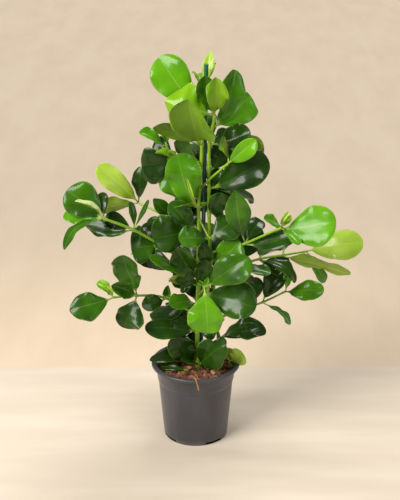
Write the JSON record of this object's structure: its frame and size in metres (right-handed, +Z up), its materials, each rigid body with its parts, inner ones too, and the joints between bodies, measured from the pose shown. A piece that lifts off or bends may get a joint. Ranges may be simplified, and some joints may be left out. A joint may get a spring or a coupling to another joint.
{
  "type": "potted clusia",
  "caption": "Leafy clusia with thick rounded leaves on branching green stems, held upright by a slim stake in a round tapered nursery pot of bark mix.",
  "frame": {"origin": "middle of the pot's flat base, where it stands on the ground", "axes": "+Z up along the pot's axis, -Y to the plant's front, +X to the right of someone who looks at the front"},
  "size_m": [0.551, 0.3708, 0.754],
  "materials": {
    "pot_plastic": "satin",
    "bark_mix": "matte",
    "stake_coating": "satin",
    "green_stem": "satin",
    "root_bark": "matte",
    "leaf_old": "satin",
    "leaf_full": "satin",
    "leaf_fresh": "satin",
    "leaf_young": "satin"
  },
  "bodies": {
    "root": {"bark_mix": "bark_mix", "bottom_right_branch_leaves_1": "leaf_old", "bottom_right_branch_leaves_2": "leaf_old", "bottom_right_branch_leaves_3": "leaf_full", "fallen_leaf": "leaf_old", "front_branch_leaves_1": "leaf_full", "front_branch_leaves_2": "leaf_fresh", "left_branch_leaves_1": "leaf_old", "left_branch_leaves_2": "leaf_old", "left_branch_leaves_3": "leaf_full", "left_branch_leaves_4": "leaf_fresh", "loose_root": "root_bark", "low_stem": "green_stem", "low_stem_leaves_1": "leaf_old", "low_stem_leaves_4": "leaf_old", "lower_left_branch_leaves_1": "leaf_old", "lower_left_branch_leaves_2": "leaf_full", "lower_left_branch_leaves_3": "leaf_young", "lower_right_branch_leaves_1": "leaf_old", "lower_right_branch_leaves_2": "leaf_old", "lower_right_branch_leaves_3": "leaf_fresh", "lower_right_branch_leaves_4": "leaf_fresh", "main_stem": "green_stem", "main_stem_leaves_1": "leaf_old", "main_stem_leaves_10": "leaf_fresh", "main_stem_leaves_11": "leaf_fresh", "main_stem_leaves_2": "leaf_old", "main_stem_leaves_3": "leaf_old", "main_stem_leaves_4": "leaf_old", "main_stem_leaves_5": "leaf_full", "main_stem_leaves_6": "leaf_old", "main_stem_leaves_7": "leaf_fresh", "main_stem_leaves_8": "leaf_old", "main_stem_leaves_9": "leaf_full", "middle_twig_leaves_1": "leaf_old", "pot": "pot_plastic", "rear_branch_leaves_1": "leaf_old", "rear_branch_leaves_2": "leaf_old", "rear_branch_leaves_3": "leaf_fresh", "rear_left_branch_leaves_1": "leaf_old", "rear_left_branch_leaves_2": "leaf_fresh", "right_branch_leaves_2": "leaf_old", "right_branch_leaves_3": "leaf_fresh", "side_stem_leaves_2": "leaf_old", "side_stem_leaves_4": "leaf_old", "side_stem_leaves_5": "leaf_old", "side_stem_leaves_6": "leaf_old", "side_stem_leaves_7": "leaf_old", "side_stem_leaves_8": "leaf_fresh", "side_stem_leaves_9": "leaf_fresh", "stake": "stake_coating", "sucker": "green_stem", "sucker_leaves_1": "leaf_young", "upper_left_branch_leaves_1": "leaf_fresh", "upper_left_branch_leaves_2": "leaf_fresh", "upper_rear_branch_leaves_1": "leaf_old", "upper_rear_branch_leaves_2": "leaf_fresh", "upper_right_branch_leaves_2": "leaf_fresh"}
  },
  "joints": []
}
